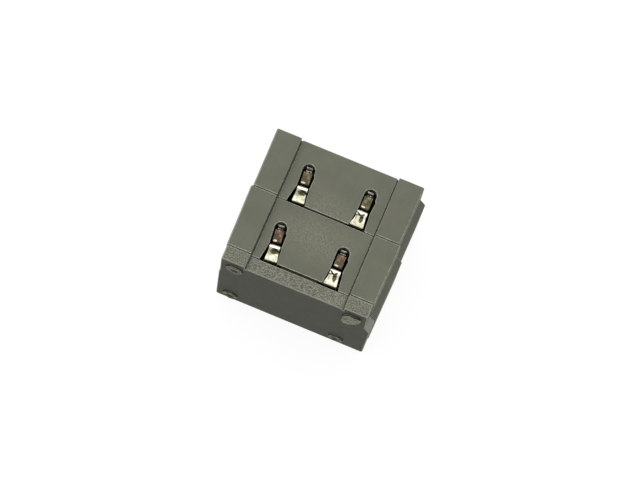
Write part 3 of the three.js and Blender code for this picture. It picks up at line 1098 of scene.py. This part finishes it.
def pin_plastic(name, paleness):
    """Plastic that was melted and pressed: speckled, with painted shade at the rim, pale inside it, and
    painted shade in its dent.
    """
    n = Nodes(name)
    dark = tuple(paleness * part for part in (0.085, 0.083, 0.06))
    pale = tuple(paleness * part for part in (0.20, 0.193, 0.142))
    streak = tuple(paleness * part for part in (0.34, 0.328, 0.258))
    inward = n.stored("inward")
    smear = n.noise(1.1, detail=4, roughness=0.6, place=n.stretched((0.8, 1, 1.3)))
    pale = n.mix(n.ramp(smear, 0.5, 0.66, 0, 0.55), pale, streak)
    ring = n.math("MULTIPLY", n.ramp(inward, 0.08, 0.16), n.ramp(inward, 0.45, 0.3))
    pale = n.mix(n.ramp(ring, 0, 1, 0, 0.9), pale, streak)
    grain = n.noise(3.4, detail=3, roughness=0.7)
    colour = n.mix(n.ramp(grain, 0.4, 0.58), dark, pale)
    sunk = n.stored("sunk")
    # Painted shade in the dent.
    colour = n.mix(n.ramp(sunk, 0.1, 0.5, 0, 0.9), colour, (0.04, 0.038, 0.032))
    # Painted shade round the rim of the staked head, where it meets its recess.
    colour = n.mix(n.ramp(inward, 0.17, 0.09), colour, (0.03, 0.03, 0.025))
    colour = n.mix(n.ramp(inward, 1.4, 1.6, 0, 0.75), colour, (0.125, 0.129, 0.1))
    roughness = n.ramp(n.noise(4, detail=3), 0.3, 0.7, 0.34, 0.55)
    n.bump((smear, 0.04), (n.noise(7, detail=3), 0.015))
    return n.finish(colour, roughness, specular=0.1)


def strip_metal(n, pale, dark, tarnish_and_painted_light, amount):
    """Colour and roughness of rolled strip: fine scratches along it, and tarnished blotches."""
    scratches = n.strip_noise(7, 0.7)
    colour = n.mix(n.ramp(scratches, 0.35, 0.68), dark, pale)
    blotches = n.noise(1.9, detail=4, roughness=0.65)
    colour = n.mix(n.ramp(blotches, 0.62 - amount, 0.78 - amount), colour, tarnish_and_painted_light)
    n.bump((scratches, 0.008), (n.noise(2.2, detail=2), 0.02))
    return colour, n.math("ADD", scratches, blotches)


def plated_contact(name, tarnish_and_painted_light):
    """Creamy plating with tarnished patches, a painted highlight across the crest, painted shade behind it
    and at the root, and painted dark reflections in the dent.
    """
    n = Nodes(name)
    colour, wear = strip_metal(n, (0.60, 0.59, 0.46), (0.45, 0.44, 0.32), (0.30, 0.285, 0.18), 0.1)
    worn = n.ramp(n.noise(1.4, detail=3), 0.5, 0.62, 0, 0.7)
    colour = n.mix(worn, colour, (0.80, 0.79, 0.68))
    # Tarnish, and painted highlight, reflection and shade, patch by patch.
    for patch, shade, amount in tarnish_and_painted_light:
        colour = n.mix(n.ramp(n.patch(*patch), 0, 1, 0, amount), colour, shade)
    # Painted shade where the bow turns down behind its crest.
    colour = n.mix(n.patch(0, 2.98, 1.6, 0.2, 0.6), colour, (0.10, 0.094, 0.068))
    # Painted shade at the root of the bow.
    _, depth = n.strip_place()
    colour = n.mix(n.ramp(depth, 0.5, 0.36), colour, (0.10, 0.098, 0.05))
    return n.finish(colour, n.ramp(wear, 0.7, 1.4, 0.2, 0.38), metallic=1.0)


def copper_leaf(name, redness, glint_u):
    """Tarnished copper alloy with streaks along it, painted shade along its edges, under the bow and in the
    dip before its tip, a painted glint, and a plated tip with painted glints.
    """
    n = Nodes(name)
    brown = Vector((0.135, 0.124, 0.072)).lerp(Vector((0.145, 0.09, 0.068)), redness)
    dark = 0.3 * brown
    colour, wear = strip_metal(n, tuple(brown), tuple(dark), (0.05, 0.052, 0.026), 0.1)
    across, along = n.strip_place()
    # Painted shade along the leaf's long edges.
    side = n.math("ABSOLUTE", across, 0)
    colour = n.mix(n.ramp(side, 0.54, 0.66, 0, 0.8), colour, (0.03, 0.024, 0.016))
    lower = n.math("MULTIPLY", n.ramp(along, 4.5, 4.1), n.ramp(n.noise(1.6, detail=3), 0.4, 0.6))
    colour = n.mix(n.ramp(lower, 0, 1, 0, 0.7), colour, (0.05, 0.056, 0.03))
    lively = n.ramp(n.strip_noise(3.2, 1.6, detail=4), 0.52, 0.66, 0, 0.75)
    colour = n.mix(lively, colour, tuple(2.6 * brown))
    # Painted glint near the front of the arch.
    colour = n.mix(n.patch(glint_u, 3.66, 0.3, 0.1, 2.4), colour, (0.62, 0.58, 0.48))
    # Painted shade in the dip between the arch and the tip.
    colour = n.mix(n.ramp(along, 5.33, 5.42), colour, (0.025, 0.02, 0.014))
    tip = n.ramp(along, 5.52, 5.6)
    colour = n.mix(tip, colour, (0.42, 0.42, 0.37))
    # Painted glints on the tip.
    glints = n.ramp(n.noise(2.2, detail=3), 0.43, 0.52)
    colour = n.mix(n.math("MULTIPLY", tip, glints), colour, (0.82, 0.82, 0.76))
    # Painted shade on the front part of the leaf, under the bow.
    colour = n.mix(n.ramp(along, 3.5, 3.36), colour, (0.018, 0.015, 0.01))
    return n.finish(colour, n.ramp(wear, 0.7, 1.4, 0.3, 0.52), metallic=1.0)


def stem_metal():
    """Dull brass."""
    n = Nodes("stem_metal")
    colour, wear = strip_metal(n, (0.42, 0.36, 0.22), (0.28, 0.23, 0.13), (0.12, 0.09, 0.05), 0.08)
    return n.finish(colour, n.ramp(wear, 0.7, 1.4, 0.35, 0.55), metallic=1.0)


# ---- Studio --------------------------------------------------------

CAMERA_AIM = Vector((0.0002, -0.0021, 0.01515))  # metres
CAMERA_DISTANCE = 0.3683
CAMERA_AZIMUTH = 9.54
CAMERA_ELEVATION = 70.37
CAMERA_ROLL = 13.35
CAMERA_LENS = 146.25

FLOOR_HALF = 3.0  # metres
FLOOR_GAP = 0.0001  # between the floor and the block's base
DOME_AZIMUTH = 212
DOME_ELEVATION = 69
DOME_BRIGHT_TO = 46  # degrees from the dome's middle
DOME_DIM_FROM = 70
DOME_BRIGHT = 1.62
DOME_DIM = 0.1
SIDE_LIGHT_AZIMUTH = 80
SIDE_LIGHT_ELEVATION = 14
SIDE_LIGHT_DISTANCE = 0.6
SIDE_LIGHT_SIZE = (0.3, 0.2)


def direction(azimuth, elevation):
    """Unit vector towards a place round the block: azimuth 0 is in front, elevation is from level."""
    a, e = math.radians(azimuth), math.radians(elevation)
    return Vector((math.sin(a) * math.cos(e), -math.cos(a) * math.cos(e), math.sin(e)))


def camera():
    data = bpy.data.cameras.new("camera")
    data.lens = CAMERA_LENS
    data.clip_start = 0.01
    obj = in_scene("camera", data)
    back = direction(CAMERA_AZIMUTH, CAMERA_ELEVATION)
    level = back.to_track_quat("Z", "Y").to_matrix().to_4x4()
    roll = Matrix.Rotation(math.radians(CAMERA_ROLL), 4, "Z")
    obj.matrix_world = Matrix.Translation(CAMERA_AIM + CAMERA_DISTANCE * back) @ level @ roll
    bpy.context.scene.camera = obj


def side_light(name, azimuth, power):
    """A low, soft light that lifts one flank a little."""
    data = bpy.data.lights.new(name, "AREA")
    data.shape = "RECTANGLE"
    data.size, data.size_y = SIDE_LIGHT_SIZE
    data.energy = power
    obj = in_scene(name, data)
    out = direction(azimuth, SIDE_LIGHT_ELEVATION)
    obj.location = out * SIDE_LIGHT_DISTANCE
    obj.rotation_euler = out.to_track_quat("Z", "Y").to_euler()


def studio_floor():
    """A plain pale floor that glows a little, like a light table. It is clear from underneath."""
    corners = [(-1, -1), (1, -1), (1, 1), (-1, 1)]
    bm = bmesh.new()
    bm.faces.new([bm.verts.new((x * FLOOR_HALF, y * FLOOR_HALF, -FLOOR_GAP)) for x, y in corners])
    floor = new_object("studio_floor", bm)
    n = Nodes("studio_floor")
    n.feed(n.shader, {
        "Base Color": (0.12, 0.12, 0.12, 1),
        "Roughness": 0.9,
        "Specular IOR Level": 0,
        "Emission Color": (1, 1, 1, 1),
        "Emission Strength": 0.9,
    })
    mix = n.add("ShaderNodeMixShader", {
        "Fac": n.add("ShaderNodeNewGeometry").outputs["Backfacing"],
        1: n.shader.outputs["BSDF"],
        2: n.add("ShaderNodeBsdfTransparent").outputs["BSDF"],
    })
    n.feed(n.tree.nodes["Material Output"], {"Surface": mix.outputs["Shader"]})
    floor.data.materials.append(n.material)


def studio_dome():
    """Soft light from a dome that is brightest overhead and behind, and dim towards the front."""
    world = bpy.data.worlds.new("studio")
    bpy.context.scene.world = world
    world.use_nodes = True
    tree = world.node_tree
    place = tree.nodes.new("ShaderNodeTexCoord")
    dot = tree.nodes.new("ShaderNodeVectorMath")
    dot.operation = "DOT_PRODUCT"
    dot.inputs[1].default_value = direction(DOME_AZIMUTH, DOME_ELEVATION)
    spread = tree.nodes.new("ShaderNodeMapRange")
    spread.interpolation_type = "SMOOTHSTEP"
    spread.inputs["From Min"].default_value = math.cos(math.radians(DOME_DIM_FROM))
    spread.inputs["From Max"].default_value = math.cos(math.radians(DOME_BRIGHT_TO))
    spread.inputs["To Min"].default_value = DOME_DIM
    spread.inputs["To Max"].default_value = DOME_BRIGHT
    background = tree.nodes["Background"]
    background.inputs["Color"].default_value = (1.0, 1.0, 0.985, 1)
    tree.links.new(place.outputs["Generated"], dot.inputs[0])
    tree.links.new(dot.outputs["Value"], spread.inputs["Value"])
    tree.links.new(spread.outputs["Result"], background.inputs["Strength"])


def studio():
    studio_floor()
    studio_dome()
    side_light("left_light", -SIDE_LIGHT_AZIMUTH, 0.1)
    side_light("right_light", SIDE_LIGHT_AZIMUTH, 0.02)
    bpy.context.scene.view_settings.view_transform = "Standard"


# ---- Assembly ------------------------------------------------------


def build():
    rear_slice(slice_plastic("rear_slice_plastic", pale_spot=(-1, 1.5, DECK_TOP)))
    front_slice(slice_plastic("front_slice_plastic", pale_spot=(-0.5, -2.2, DECK_TOP)))
    end_plate(end_plate_plastic())
    for pin in PINS:
        tie_pin(pin)
    brass = stem_metal()
    plating = {
        -1: plated_contact("plated_contact_left", LEFT_TARNISH_AND_PAINTED_LIGHT),
        1: plated_contact("plated_contact_right", RIGHT_TARNISH_AND_PAINTED_LIGHT),
    }
    for contact in CONTACTS:
        copper = copper_leaf(f"copper_leaf_{contact.name}", contact.redness, -GLINT_U * contact.side)
        contact_bow(contact, plating[contact.side])
        spring_leaf(contact, copper)
        contact_stem(contact, brass)


camera()
build()
studio()
